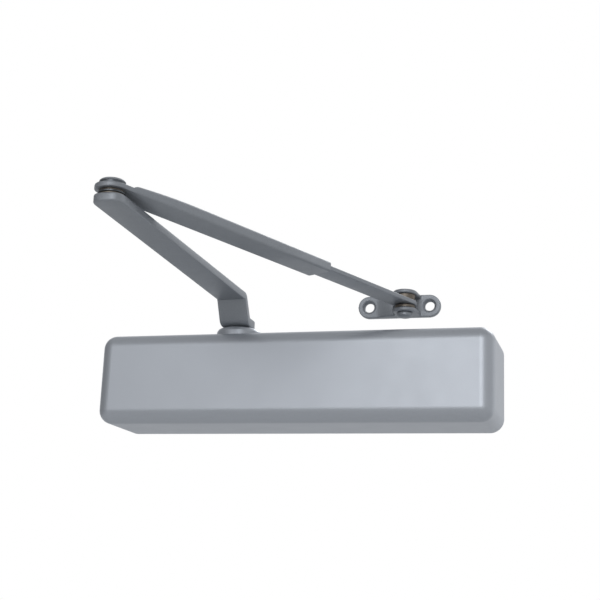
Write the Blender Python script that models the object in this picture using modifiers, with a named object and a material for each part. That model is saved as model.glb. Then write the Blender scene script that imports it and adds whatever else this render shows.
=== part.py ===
"""Surface-mounted door closer with a regular double-lever arm.

Frame: metres, +Z up. X runs along the cover, +Y points into the door. The origin lies on the
door's face (Y = 0), at the middle of the cover's length and height. The arm is modelled as it
stands on a shut door.
"""
import math

import bmesh
import bpy
from mathutils import Matrix, Vector

MM = 0.001
GAP = 0.3 * MM

# ---------------------------------------------------------------- driving dimensions
COVER_LENGTH = 318 * MM
COVER_HEIGHT = 72 * MM
COVER_DEPTH = 64 * MM
COVER_WALL = 2 * MM
COVER_ROUND = 11 * MM
COVER_TOP = COVER_HEIGHT / 2
NOTCH_WIDTH = 38.8 * MM

SPINDLE_X = -50.6 * MM
SPINDLE_Y = -34 * MM

# Cast body: a barrel along X, a pinion boss along Z and two screw feet.
BORE_RADIUS = 19 * MM
BARREL_RADIUS = 25 * MM
BARREL_HALF = 128 * MM
BOSS_RADIUS = 20 * MM
CAP_RADIUS = 18.5 * MM
BOSS_TOP = 33 * MM
PINION_BORE = 16 * MM
FOOT_END = 150 * MM
FOOT_THICKNESS = 9 * MM
FIX_X = 140 * MM
FIX_Z = 9.5 * MM
FIX_RADIUS = 3.2 * MM
LUG_X = 138 * MM
LUG_Y = -18 * MM
LUG_TOP = COVER_TOP - COVER_WALL - GAP
VALVES = (("sweep_valve", -118 * MM), ("latch_valve", -105 * MM), ("backcheck_valve", -92 * MM))

# Rack and pinion
MODULE = 1.75 * MM
TEETH = 10
PRESSURE_ANGLE = math.radians(25)
PITCH_RADIUS = MODULE * TEETH / 2
PINION_ADDENDUM = 0.9 * MODULE
RACK_ADDENDUM = 0.8 * MODULE
DEDENDUM = 1.17 * MODULE
FLANK_EASE = 0.13 * MODULE
GEAR_HALF_HEIGHT = 14 * MM
JOURNAL_RADIUS = 7 * MM
SQUARE = 9.8 * MM
SHAFT_TOP = COVER_TOP + 15 * MM
SHAFT_BOTTOM = -31 * MM
PISTON_RADIUS = BORE_RADIUS - GAP
PISTON_LEFT = -98 * MM
PISTON_RIGHT = -20 * MM
POCKET_LEFT = -89 * MM
POCKET_RIGHT = -37 * MM
POCKET_BACK = SPINDLE_Y + 11.5 * MM

# Springs and the screw that loads them
SEAT_LEFT = 100 * MM
SEAT_RIGHT = 107 * MM
SCREW_RADIUS = 5 * MM
PLUG_INNER = 113 * MM
PLUG_FLANGE = 3 * MM

# Arm: heights are the undersides and tops of the stacked pieces.
HUB_BOTTOM = COVER_TOP + 8.3 * MM
HUB_THICKNESS = 7 * MM
ARM_BOTTOM = COVER_TOP + 27.2 * MM
ARM_THICKNESS = 5.8 * MM
ARM_TOP = ARM_BOTTOM + ARM_THICKNESS
HUB_WIDTH = 24.2 * MM
BAR_WIDTH_ROOT = 23.8 * MM
BAR_WIDTH_TIP = 20.2 * MM
RISER_LEAN = math.radians(30.4)
RISER_TOP_Y = -58.5 * MM
ELBOW_X = -49.5 * MM
ELBOW_Y = -289.7 * MM

FOREARM_ANGLE = math.radians(25.9)
FOREARM_FALL = math.radians(2.0)
FOREARM_REACH = 302.2 * MM
PLATE_THICKNESS = 3 * MM
PLATE_BOTTOM = ARM_TOP + 3.8 * MM
PLATE_MID = PLATE_BOTTOM + PLATE_THICKNESS / 2
TUBE_WIDTH = 22.6 * MM
TUBE_HEIGHT = 7.4 * MM
TUBE_RISE = (TUBE_HEIGHT - PLATE_THICKNESS) / 2
TUBE_WALL = 1.7 * MM
TUBE_LENGTH = 198 * MM
ROD_WIDTH = TUBE_WIDTH - 2 * TUBE_WALL - 2 * GAP
ROD_HEIGHT = TUBE_HEIGHT - 2 * TUBE_WALL - 2 * GAP
ROD_START = 118 * MM

# Frame shoe
SHOE_Z = 67 * MM
HOLE_LEFT = 50.1 * MM
HOLE_RIGHT = 99.8 * MM
LOBE_RADIUS = 9.1 * MM
SHOE_THICKNESS = 5 * MM
SHOE_HOLE_RADIUS = 4 * MM
LUG_THICKNESS = 3.2 * MM
LUG_RADIUS = 9.5 * MM

FOREARM_DIR = Vector((math.sin(FOREARM_ANGLE), math.cos(FOREARM_ANGLE), 0))
ELBOW = Vector((ELBOW_X, ELBOW_Y, PLATE_MID))
PIN = ELBOW + FOREARM_DIR * FOREARM_REACH
PIN.z = PLATE_MID + TUBE_RISE - FOREARM_REACH * math.tan(FOREARM_FALL)

AXIS_TURN = {
    "X": Matrix.Rotation(math.pi / 2, 4, "Y"),
    "Y": Matrix.Rotation(-math.pi / 2, 4, "X"),
    "Z": Matrix.Identity(4),
}


# ---------------------------------------------------------------- scene and materials
def clear_scene():
    """Remove every object, so that the script starts from nothing."""
    for obj in list(bpy.data.objects):
        bpy.data.objects.remove(obj, do_unlink=True)


def new_collection(name):
    collection = bpy.data.collections.new(name)
    bpy.context.scene.collection.children.link(collection)
    return collection


def finish(name, red, green, blue, roughness, metallic):
    """A Principled BSDF finish."""
    material = bpy.data.materials.new(name)
    material.use_nodes = True
    shader = material.node_tree.nodes["Principled BSDF"]
    shader.inputs["Base Color"].default_value = (red, green, blue, 1)
    shader.inputs["Roughness"].default_value = roughness
    shader.inputs["Metallic"].default_value = metallic
    return material


clear_scene()
PARTS = new_collection("door_closer")
CUTTERS = new_collection("cutters")

COVER_PAINT = finish("cover_paint", 0.36, 0.38, 0.41, 0.42, 0.3)
ARM_PAINT = finish("arm_paint", 0.20, 0.21, 0.23, 0.45, 0.3)
CASTING = finish("casting", 0.16, 0.16, 0.17, 0.6, 0.6)
STEEL = finish("steel", 0.45, 0.45, 0.46, 0.3, 1.0)
BRONZE = finish("bronze", 0.28, 0.17, 0.10, 0.4, 1.0)
SEAL_RUBBER = finish("seal_rubber", 0.02, 0.02, 0.02, 0.7, 0.0)


# ---------------------------------------------------------------- shape helpers
def place(obj, material=None):
    """Put an object in the parts collection with its finish, or among the cutters."""
    if material is None:
        CUTTERS.objects.link(obj)
        obj.hide_render = True
        obj.display_type = "WIRE"
        return obj
    PARTS.objects.link(obj)
    obj.data.materials.append(material)
    return obj


def smooth(obj, angle=35):
    obj.data.shade_smooth()
    obj.data.set_sharp_from_angle(angle=math.radians(angle))
    return obj


def cylinder(name, radius, low, high, centre, axis="Z", material=None, sides=32, top_radius=None):
    """A cylinder or cone along an axis, from low to high on that axis."""
    bm = bmesh.new()
    middle = Matrix.Translation((0, 0, (low + high) / 2))
    end_radius = radius if top_radius is None else top_radius
    bmesh.ops.create_cone(bm, cap_ends=True, segments=sides, radius1=radius, radius2=end_radius,
                          depth=high - low, matrix=AXIS_TURN[axis] @ middle)
    mesh = bpy.data.meshes.new(name)
    bm.to_mesh(mesh)
    bm.free()
    obj = bpy.data.objects.new(name, mesh)
    obj.location = centre
    return smooth(place(obj, material))


def box(name, low, high, material=None):
    """A box between two corners."""
    low = Vector(low)
    high = Vector(high)
    bm = bmesh.new()
    size = Matrix.Diagonal((*(high - low), 1))
    bmesh.ops.create_cube(bm, size=1, matrix=size)
    mesh = bpy.data.meshes.new(name)
    bm.to_mesh(mesh)
    bm.free()
    obj = bpy.data.objects.new(name, mesh)
    obj.location = (low + high) / 2
    return place(obj, material)


def arc(centre_x, centre_y, radius, start, end, steps):
    """Points of an arc, from start to end in degrees."""
    points = []
    for step in range(steps + 1):
        angle = math.radians(start + (end - start) * step / steps)
        points.append((centre_x + radius * math.cos(angle), centre_y + radius * math.sin(angle)))
    return points


def plate(name, outline, low, high, plane="XY", material=None):
    """A flat outline given a thickness. The plane is XY (thickness along Z), XZ (along Y) or YZ."""
    curve = bpy.data.curves.new(name, "CURVE")
    curve.dimensions = "2D"
    curve.fill_mode = "BOTH"
    curve.extrude = (high - low) / 2
    spline = curve.splines.new("POLY")
    spline.points.add(len(outline) - 1)
    for point, (first, second) in zip(spline.points, outline):
        point.co = (first, second, 0, 1)
    spline.use_cyclic_u = True
    drawn = bpy.data.objects.new(name + "_outline", curve)
    CUTTERS.objects.link(drawn)
    evaluated = drawn.evaluated_get(bpy.context.evaluated_depsgraph_get())
    mesh = bpy.data.meshes.new_from_object(evaluated)
    mesh.name = name
    bpy.data.objects.remove(drawn, do_unlink=True)
    bm = bmesh.new()
    bm.from_mesh(mesh)
    bmesh.ops.remove_doubles(bm, verts=bm.verts, dist=0.01 * MM)
    middle = (low + high) / 2
    if plane == "XY":
        turn = Matrix.Translation((0, 0, middle))
    elif plane == "XZ":
        turn = Matrix.Translation((0, middle, 0)) @ Matrix.Rotation(math.pi / 2, 4, "X")
    else:
        upright = Matrix.Rotation(math.pi / 2, 4, "Z") @ Matrix.Rotation(math.pi / 2, 4, "X")
        turn = Matrix.Translation((middle, 0, 0)) @ upright
    bm.transform(turn)
    bmesh.ops.recalc_face_normals(bm, faces=bm.faces)
    bm.to_mesh(mesh)
    bm.free()
    obj = bpy.data.objects.new(name, mesh)
    return place(obj, material)


def turned(name, profile, centre, axis="Z", material=None, sides=32, closed=True):
    """A turned shape: (radius, height) points run down the outside, then up the inside."""
    bm = bmesh.new()
    verts = [bm.verts.new((radius, 0, height)) for radius, height in profile]
    for first, second in zip(verts, verts[1:]):
        bm.edges.new((first, second))
    if closed:
        bm.edges.new((verts[-1], verts[0]))
    mesh = bpy.data.meshes.new(name)
    bm.to_mesh(mesh)
    bm.free()
    obj = bpy.data.objects.new(name, mesh)
    obj.location = centre
    obj.matrix_world = Matrix.Translation(centre) @ AXIS_TURN[axis]
    screw = obj.modifiers.new("turn", "SCREW")
    screw.axis = "Z"
    screw.steps = sides
    screw.render_steps = sides
    screw.use_merge_vertices = True
    screw.merge_threshold = 0.00001
    screw.use_smooth_shade = True
    return place(obj, material)


def ring(name, outer, inner, low, high, centre, axis="Z", material=None, sides=32):
    """A washer, bush or square-section ring."""
    profile = [(outer, high), (outer, low), (inner, low), (inner, high)]
    return turned(name, profile, centre, axis, material, sides)


def o_ring(name, radius, section, centre, axis, sides=28):
    """A round-section rubber ring."""
    profile = [(radius + x, y) for x, y in arc(0, 0, section, 90, -225, 7)]
    return turned(name, profile, centre, axis, SEAL_RUBBER, sides)


def cut(obj, cutter, operation="DIFFERENCE"):
    """Cut, join or intersect an object with another, which then becomes a guide."""
    boolean = obj.modifiers.new(operation.lower(), "BOOLEAN")
    boolean.operation = operation
    boolean.solver = "EXACT"
    boolean.object = cutter
    return obj


def join(obj, *others):
    for other in others:
        cut(obj, other, "UNION")
    return obj


def coil(name, radius, wire, start, end, turns, hand, material):
    """A compression spring along X, wound by a loop."""
    per_turn = 12
    curve = bpy.data.curves.new(name, "CURVE")
    curve.dimensions = "3D"
    curve.bevel_depth = wire
    curve.bevel_resolution = 1
    curve.use_fill_caps = True
    spline = curve.splines.new("POLY")
    count = per_turn * turns + 1
    spline.points.add(count - 1)
    for index, point in enumerate(spline.points):
        share = index / (count - 1)
        angle = hand * share * turns * 2 * math.pi
        across = start + wire + (end - start - 2 * wire) * share
        point.co = (across, SPINDLE_Y + radius * math.cos(angle), radius * math.sin(angle), 1)
    obj = bpy.data.objects.new(name, curve)
    PARTS.objects.link(obj)
    curve.materials.append(material)
    return obj


# ---------------------------------------------------------------- cover
def make_cover():
    """A one-piece cover, open at the back, with a notch on top for the spindle."""
    half = Vector((COVER_LENGTH, COVER_DEPTH, COVER_HEIGHT)) / 2
    bm = bmesh.new()
    shape = Matrix.Translation((0, -half.y, 0)) @ Matrix.Diagonal((*(half * 2), 1))
    bmesh.ops.create_cube(bm, size=1, matrix=shape)
    back = [face for face in bm.faces if face.normal.y > 0.9]
    bmesh.ops.delete(bm, geom=back, context="FACES_ONLY")
    mesh = bpy.data.meshes.new("cover")
    bm.to_mesh(mesh)
    bm.free()
    cover = place(bpy.data.objects.new("cover", mesh), COVER_PAINT)
    bevel = cover.modifiers.new("edge_rounds", "BEVEL")
    bevel.width = COVER_ROUND
    bevel.segments = 4
    bevel.limit_method = "ANGLE"
    wall = cover.modifiers.new("wall", "SOLIDIFY")
    wall.thickness = COVER_WALL
    wall.offset = -1
    notch_half = NOTCH_WIDTH / 2
    notch = [(SPINDLE_X + notch_half, 10 * MM), (SPINDLE_X - notch_half, 10 * MM)]
    notch += arc(SPINDLE_X, SPINDLE_Y, notch_half, 180, 360, 16)
    cut(cover, plate("cut_notch", notch, COVER_TOP - 6 * MM, COVER_TOP + 4 * MM))
    for side, x in (("left", -LUG_X), ("right", LUG_X)):
        hole = cylinder("cut_cover_hole_" + side, 2.6 * MM, COVER_TOP - 6 * MM, COVER_TOP + 4 * MM,
                        (x, LUG_Y, 0), sides=16)
        cut(cover, hole)
        make_cover_screw(side, x)
    return cover


def make_cover_screw(side, x):
    """A pan-head screw that holds the cover to the lug below it."""
    head = COVER_TOP + GAP
    foot = COVER_TOP - 11 * MM
    profile = [(0, head + 2.2 * MM), (3 * MM, head + 2 * MM), (4.2 * MM, head + 1 * MM), (4.2 * MM, head),
               (2 * MM, head), (2 * MM, foot), (0, foot)]
    return turned("cover_screw_" + side, profile, (x, LUG_Y, 0), material=STEEL, sides=16, closed=False)


# ---------------------------------------------------------------- body
def make_body():
    """The cast housing with its barrel, pinion boss, feet and valve block."""
    centre = (0, SPINDLE_Y, 0)
    boss_centre = (SPINDLE_X, SPINDLE_Y, 0)
    body = cylinder("closer_body", BARREL_RADIUS, -BARREL_HALF, BARREL_HALF, centre, "X", CASTING, sides=40)
    boss = cylinder("join_boss", BOSS_RADIUS, -BOSS_TOP, BOSS_TOP, boss_centre, sides=40)
    web = box("join_web", (-120 * MM, -22 * MM, -20 * MM), (120 * MM, 0, 20 * MM))
    block = box("join_valve_block", (-126 * MM, -46 * MM, -32.5 * MM), (-84 * MM, -22 * MM, -10 * MM))
    join(body, boss, web, block)
    for side, sign in (("left", -1), ("right", 1)):
        inner, outer = sorted((sign * 105 * MM, sign * FOOT_END))
        foot = box("join_foot_" + side, (inner, -FOOT_THICKNESS, -27 * MM), (outer, 0, 27 * MM))
        inner, outer = sorted((sign * 131.5 * MM, sign * 145.5 * MM))
        lug = box("join_lug_" + side, (inner, -25 * MM, 20.5 * MM), (outer, -0.5 * MM, LUG_TOP))
        join(body, foot, lug)
    reach = BARREL_HALF + 10 * MM
    cut(body, cylinder("cut_bore", BORE_RADIUS, -reach, reach, centre, "X", sides=40))
    reach = BOSS_TOP + 5 * MM
    cut(body, cylinder("cut_pinion_bore", PINION_BORE, -reach, reach, boss_centre, sides=40))
    for side, sign in (("left", -1), ("right", 1)):
        screw_line = (sign * LUG_X, LUG_Y, 0)
        cut(body, cylinder("cut_tapped_" + side, 2.3 * MM, 22 * MM, 40 * MM, screw_line, sides=16))
        for level, z in (("low", -FIX_Z), ("high", FIX_Z)):
            fixing = cylinder("cut_fixing_" + side + level, FIX_RADIUS, -20 * MM, 10 * MM,
                              (sign * FIX_X, 0, z), "Y", sides=16)
            cut(body, fixing)
    for name, x in VALVES:
        cut(body, cylinder("cut_" + name, 3.3 * MM, -40 * MM, -22 * MM, (x, SPINDLE_Y, 0), sides=20))
    return body


def make_valves():
    """Three slotted regulating screws in the valve block."""
    for name, x in VALVES:
        valve = cylinder(name, 3 * MM, -32.3 * MM, -22.6 * MM, (x, SPINDLE_Y, 0), material=STEEL, sides=20)
        slot = box("cut_slot_" + name, (x - 4 * MM, SPINDLE_Y - 0.5 * MM, -34 * MM),
                   (x + 4 * MM, SPINDLE_Y + 0.5 * MM, -31 * MM))
        cut(valve, slot)


def make_plug(side, sign):
    """A flanged barrel plug with a groove for its ring."""
    flange_radius = 22.5 * MM
    groove = 15.4 * MM
    radius = BORE_RADIUS - GAP
    outer = BARREL_HALF + GAP + PLUG_FLANGE
    heights = [outer, BARREL_HALF + GAP, 124 * MM, 120.4 * MM, PLUG_INNER]
    profile = [(flange_radius, heights[0]), (flange_radius, heights[1]), (radius, heights[1]),
               (radius, heights[2]), (groove, heights[2]), (groove, heights[3]), (radius, heights[3]),
               (radius, heights[4])]
    if side == "right":
        bore = SCREW_RADIUS + GAP
        profile += [(bore, heights[4]), (bore, heights[0])]
        plug = turned("barrel_plug_right", profile, (0, SPINDLE_Y, 0), "X", STEEL)
    else:
        profile = [(0, heights[0])] + profile + [(0, heights[4])]
        plug = turned("barrel_plug_left", profile, (0, SPINDLE_Y, 0), "X", STEEL, closed=False)
        plug.matrix_world = Matrix.Translation((0, SPINDLE_Y, 0)) @ Matrix.Rotation(-math.pi / 2, 4, "Y")
    o_ring("plug_ring_" + side, 17.1 * MM, 1.3 * MM, (sign * 122.2 * MM, SPINDLE_Y, 0), "X")
    return plug


# ---------------------------------------------------------------- rack, pinion and springs
def tooth_half_angle(radius, pitch_half):
    """Half the tooth's angle at a radius, for an involute flank."""
    base = PITCH_RADIUS * math.cos(PRESSURE_ANGLE)
    if radius <= base:
        return pitch_half + (math.tan(PRESSURE_ANGLE) - PRESSURE_ANGLE)
    angle = math.acos(base / radius)
    return pitch_half + (math.tan(PRESSURE_ANGLE) - PRESSURE_ANGLE) - (math.tan(angle) - angle)


def pinion_outline():
    """Involute teeth round the spindle, with one tooth pointing to the rack."""
    tip = PITCH_RADIUS + PINION_ADDENDUM
    root = PITCH_RADIUS - DEDENDUM
    base = PITCH_RADIUS * math.cos(PRESSURE_ANGLE)
    pitch_half = (math.pi * MODULE / 4 - FLANK_EASE) / PITCH_RADIUS
    radii = [root, base] + [base + (tip - base) * step / 4 for step in range(1, 5)]
    points = []
    for tooth in range(TEETH):
        middle = -math.pi / 2 + tooth * 2 * math.pi / TEETH
        rising = [(radius, middle - tooth_half_angle(radius, pitch_half)) for radius in radii]
        falling = [(radius, middle + tooth_half_angle(radius, pitch_half)) for radius in reversed(radii)]
        for radius, angle in rising + falling:
            points.append((SPINDLE_X + radius * math.cos(angle), SPINDLE_Y + radius * math.sin(angle)))
    return points


def make_pinion():
    """Pinion and spindle in one piece, with a square end for the arm."""
    shaft = plate("pinion_shaft", pinion_outline(), -GEAR_HALF_HEIGHT, GEAR_HALF_HEIGHT, material=STEEL)
    centre = (SPINDLE_X, SPINDLE_Y, 0)
    inside = GEAR_HALF_HEIGHT - 0.6 * MM
    upper = cylinder("join_upper_journal", JOURNAL_RADIUS, inside, 43.6 * MM, centre, sides=24)
    lower = cylinder("join_lower_journal", JOURNAL_RADIUS, SHAFT_BOTTOM, -inside, centre, sides=24)
    half = SQUARE / 2
    square = box("join_square", (SPINDLE_X - half, SPINDLE_Y - half, 43 * MM),
                 (SPINDLE_X + half, SPINDLE_Y + half, SHAFT_TOP))
    join(shaft, upper, lower, square)
    thread = cylinder("cut_arm_thread", 3.2 * MM, SHAFT_TOP - 13 * MM, SHAFT_TOP + 5 * MM, centre, sides=16)
    cut(shaft, thread)
    return shaft


def pocket_outline():
    """The pocket in the piston: three plain sides and one with rack teeth."""
    pitch = math.pi * MODULE
    line = SPINDLE_Y - PITCH_RADIUS
    tip_y = line + RACK_ADDENDUM
    root_y = line - DEDENDUM
    slope = math.tan(PRESSURE_ANGLE)
    tip_half = pitch / 4 - FLANK_EASE - RACK_ADDENDUM * slope
    root_half = pitch / 4 - FLANK_EASE + DEDENDUM * slope
    points = [(POCKET_RIGHT, POCKET_BACK), (POCKET_LEFT, POCKET_BACK), (POCKET_LEFT, root_y)]
    first = math.ceil((POCKET_LEFT + root_half - SPINDLE_X) / pitch - 0.5)
    last = math.floor((POCKET_RIGHT - root_half - SPINDLE_X) / pitch - 0.5)
    for tooth in range(first, last + 1):
        middle = SPINDLE_X + (tooth + 0.5) * pitch
        points += [(middle - root_half, root_y), (middle - tip_half, tip_y),
                   (middle + tip_half, tip_y), (middle + root_half, root_y)]
    points.append((POCKET_RIGHT, root_y))
    return points


def make_piston():
    """The rack piston with its seal groove and check-valve passage."""
    centre = (0, SPINDLE_Y, 0)
    piston = cylinder("rack_piston", PISTON_RADIUS, PISTON_LEFT, PISTON_RIGHT, centre, "X", STEEL, sides=40)
    cut(piston, plate("cut_pocket", pocket_outline(), -25 * MM, 25 * MM))
    groove = ring("cut_groove", 25 * MM, 16.2 * MM, -27.4 * MM, -23.4 * MM, centre, "X", sides=40)
    cut(piston, groove)
    cut(piston, cylinder("cut_passage", 1.5 * MM, -40 * MM, -18 * MM, centre, "X", sides=16))
    cut(piston, cylinder("cut_valve_seat", 3.1 * MM, -31 * MM, -18 * MM, centre, "X", sides=16))
    ring_radius = PISTON_RADIUS - 0.1 * MM
    ring("piston_ring", ring_radius, 16.5 * MM, -27.0 * MM, -23.8 * MM, centre, "X", SEAL_RUBBER, 40)
    bm = bmesh.new()
    bmesh.ops.create_uvsphere(bm, u_segments=16, v_segments=10, radius=2.4 * MM)
    mesh = bpy.data.meshes.new("check_ball")
    bm.to_mesh(mesh)
    bm.free()
    ball = place(bpy.data.objects.new("check_ball", mesh), STEEL)
    ball.location = (-28 * MM, SPINDLE_Y, 0)
    ring("check_valve_cage", 2.8 * MM, 1.2 * MM, -24.5 * MM, -20.5 * MM, centre, "X", BRONZE, 16)
    return piston


def make_spindle_fittings():
    """Bearings, lip seals and caps, above and below the pinion."""
    centre = (SPINDLE_X, SPINDLE_Y, 0)
    outer = PINION_BORE - GAP
    inner = JOURNAL_RADIUS + GAP
    ring("upper_bearing", outer, inner, 19.4 * MM, 27.4 * MM, centre, material=BRONZE)
    ring("lower_bearing", outer, inner, -27.4 * MM, -19.4 * MM, centre, material=BRONZE)
    ring("upper_shaft_seal", outer, inner, 27.7 * MM, 30.1 * MM, centre, material=SEAL_RUBBER)
    ring("lower_shaft_seal", outer, inner, -30.1 * MM, -27.7 * MM, centre, material=SEAL_RUBBER)
    shoulder = BOSS_TOP + GAP
    top = COVER_TOP + 7.3 * MM
    profile = [(13.2 * MM, top), (16 * MM, top - 1.2 * MM), (17.9 * MM, COVER_TOP + 3.4 * MM),
               (CAP_RADIUS, COVER_TOP), (CAP_RADIUS, shoulder), (outer, shoulder), (outer, 30.4 * MM),
               (inner, 30.4 * MM), (inner, top)]
    turned("spindle_cap", profile, centre, material=ARM_PAINT)
    ring("lower_bearing_cap", outer, inner, -32.6 * MM, -30.4 * MM, centre, material=STEEL)


def make_springs():
    """Two nested springs between the piston and the adjustable seat."""
    start = PISTON_RIGHT + GAP
    end = SEAT_LEFT - GAP
    coil("main_spring", 15.4 * MM, 2.4 * MM, start, end, 10, 1, STEEL)
    coil("inner_spring", 9.8 * MM, 1.5 * MM, start, end, 11, -1, STEEL)
    centre = (0, SPINDLE_Y, 0)
    ring("spring_seat", BORE_RADIUS - GAP, SCREW_RADIUS + GAP, SEAT_LEFT, SEAT_RIGHT, centre, "X", STEEL)
    outer = BARREL_HALF + GAP + PLUG_FLANGE
    screw = cylinder("power_adjuster", SCREW_RADIUS, 66 * MM, outer + 1.5 * MM, centre, "X", STEEL, 20)
    head = cylinder("join_adjuster_head", 7 * MM, outer + GAP, outer + 5 * MM, centre, "X", sides=6)
    join(screw, head)


# ---------------------------------------------------------------- arm
def crank_bend(offset, height, radius, start, end, steps, inside):
    """One bend of the cranked arm, whose riser face lies at an offset behind its front face."""
    lean = RISER_LEAN
    front = -math.cos(lean) * RISER_TOP_Y - math.sin(lean) * ARM_BOTTOM
    reach = radius if inside else -radius
    centre_y = -(front - offset + reach + math.sin(lean) * height) / math.cos(lean)
    return arc(centre_y, height, radius, start, end, steps)


def arm_side_outline():
    """Side view of the cranked arm as (Y, Z): hub, leaning riser and long flat bar."""
    lean = math.degrees(RISER_LEAN)
    hub_back = SPINDLE_Y + HUB_WIDTH
    hub_top = HUB_BOTTOM + HUB_THICKNESS
    tip = ELBOW_Y - HUB_WIDTH
    outer = 6.5 * MM
    inner = 1.5 * MM
    points = [(hub_back, hub_top), (hub_back, HUB_BOTTOM)]
    points += crank_bend(0, HUB_BOTTOM + outer, outer, 270, 180 + lean, 5, False)
    points += crank_bend(0, ARM_BOTTOM - inner, inner, lean, 90, 3, True)
    points += [(tip, ARM_BOTTOM), (tip, ARM_TOP)]
    points += crank_bend(ARM_THICKNESS, ARM_TOP - outer, outer, 90, lean, 5, True)
    points += crank_bend(ARM_THICKNESS, hub_top + inner, inner, 180 + lean, 270, 3, False)
    return points


def arm_plan_outline():
    """Plan of the arm along its own axis: +Y runs from the spindle to the elbow."""
    length = (Vector((ELBOW_X, ELBOW_Y)) - Vector((SPINDLE_X, SPINDLE_Y))).length
    hub = HUB_WIDTH / 2
    root = BAR_WIDTH_ROOT / 2
    tip = BAR_WIDTH_TIP / 2
    bluntness = 2 / 2.8
    points = arc(0, 0, hub, 180, 360, 14)
    points += [(root, 22 * MM)]
    for x, y in arc(0, 0, 1, 0, 180, 14):
        across = math.copysign(abs(x) ** bluntness, x)
        points.append((tip * across, length + 10 * MM * abs(y) ** bluntness))
    points += [(-root, 22 * MM)]
    return points


def make_main_arm():
    """A forged arm: the side outline and the plan outline meet in one solid."""
    across = Vector((ELBOW_X - SPINDLE_X, ELBOW_Y - SPINDLE_Y, 0))
    heading = math.atan2(across.y, across.x) - math.pi / 2
    arm = plate("main_arm", arm_plan_outline(), HUB_BOTTOM - 5 * MM, ARM_TOP + 5 * MM, material=ARM_PAINT)
    arm.location = (SPINDLE_X, SPINDLE_Y, 0)
    arm.rotation_euler = (0, 0, heading)
    side = plate("keep_arm_side", arm_side_outline(), SPINDLE_X - 30 * MM, SPINDLE_X + 34 * MM, "YZ")
    cut(arm, side, "INTERSECT")
    half = SQUARE / 2 + GAP
    cut(arm, box("cut_square", (SPINDLE_X - half, SPINDLE_Y - half, HUB_BOTTOM - 5 * MM),
                 (SPINDLE_X + half, SPINDLE_Y + half, HUB_BOTTOM + HUB_THICKNESS + 5 * MM)))
    pin_hole = cylinder("cut_elbow_hole", 5.3 * MM, ARM_BOTTOM - 5 * MM, ARM_TOP + 5 * MM,
                        (ELBOW_X, ELBOW_Y, 0), sides=20)
    cut(arm, pin_hole)
    return arm


def make_arm_fasteners():
    """The screw and washer that hold the arm on the spindle."""
    centre = (SPINDLE_X, SPINDLE_Y, 0)
    seat = HUB_BOTTOM + HUB_THICKNESS + GAP
    ring("arm_washer", 9.2 * MM, 3.4 * MM, seat, seat + 1.4 * MM, centre, material=STEEL, sides=24)
    head = seat + 1.4 * MM + GAP
    low = SHAFT_TOP - 12 * MM
    screw = cylinder("arm_screw", 2.9 * MM, low, head + 1 * MM, centre, material=STEEL, sides=16)
    join(screw, cylinder("join_screw_head", 6.6 * MM, head, head + 4.4 * MM, centre, sides=6))


def make_elbow():
    """Pin, washers and domed cap where the two levers meet."""
    centre = (ELBOW_X, ELBOW_Y, 0)
    flush = ARM_BOTTOM + 0.2 * MM
    pin_top = PLATE_BOTTOM + PLATE_THICKNESS + 3 * MM
    profile = [(0, pin_top), (3.4 * MM, pin_top), (3.4 * MM, PLATE_BOTTOM + PLATE_THICKNESS + GAP),
               (5 * MM, PLATE_BOTTOM + PLATE_THICKNESS + GAP), (5 * MM, flush), (0, flush)]
    turned("elbow_pin", profile, centre, material=STEEL, sides=20, closed=False)
    inner = 5.3 * MM
    base = ARM_TOP + GAP
    washers = (
        ("elbow_lower_washer", 8.3 * MM, 0, 0.8 * MM, BRONZE),
        ("elbow_middle_washer", 8.8 * MM, 1.1 * MM, 2.1 * MM, STEEL),
        ("elbow_upper_washer", 8.1 * MM, 2.4 * MM, 3.2 * MM, BRONZE),
    )
    for name, radius, bottom, top, material in washers:
        ring(name, radius, inner, base + bottom, base + top, centre, material=material, sides=28)
    low = PLATE_BOTTOM + PLATE_THICKNESS + GAP
    cap = [(0, low + 4.1 * MM), (6.6 * MM, low + 4 * MM), (7.8 * MM, low + 3.5 * MM),
           (8.4 * MM, low + 2.7 * MM), (8.4 * MM, low), (3.8 * MM, low), (3.8 * MM, low + 3 * MM),
           (0, low + 3 * MM)]
    turned("elbow_cap", cap, centre, material=ARM_PAINT, sides=28, closed=False)


def rounded_section(width, height, corner, steps=3):
    """Points of a rectangle with rounded corners, counter-clockwise, as (across, up)."""
    right = width / 2 - corner
    top = height / 2 - corner
    points = []
    corners = ((right, top), (-right, top), (-right, -top), (right, -top))
    for quarter, (centre_x, centre_y) in enumerate(corners):
        points += arc(centre_x, centre_y, corner, 90 * quarter, 90 * quarter + 90, steps)
    return points


def forearm_object(name, mesh, material):
    """Set a piece in the forearm's own frame: +Y runs from the elbow to the shoe."""
    obj = bpy.data.objects.new(name, mesh)
    obj.matrix_world = Matrix.Translation(ELBOW) @ Matrix.Rotation(-FOREARM_ANGLE, 4, "Z")
    return place(obj, material)


def loft(name, stations, material=None, rising=False):
    """Skin a row of sections, each (distance, width, height, corner), on the falling centre line.

    A rising skin keeps its underside in one plane with the elbow plate's.
    """
    bm = bmesh.new()
    rows = []
    for distance, width, height, corner in stations:
        middle = height / 2 - PLATE_THICKNESS / 2 if rising else TUBE_RISE
        middle -= distance * math.tan(FOREARM_FALL)
        section = rounded_section(width, height, corner)
        rows.append([bm.verts.new((x, distance, middle + z)) for x, z in section])
    for first, second in zip(rows, rows[1:]):
        for index in range(len(first)):
            after = (index + 1) % len(first)
            bm.faces.new((first[index], first[after], second[after], second[index]))
    bm.faces.new(rows[0])
    bm.faces.new(rows[-1])
    bmesh.ops.recalc_face_normals(bm, faces=bm.faces)
    mesh = bpy.data.meshes.new(name)
    bm.to_mesh(mesh)
    bm.free()
    return forearm_object(name, mesh, material)


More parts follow.
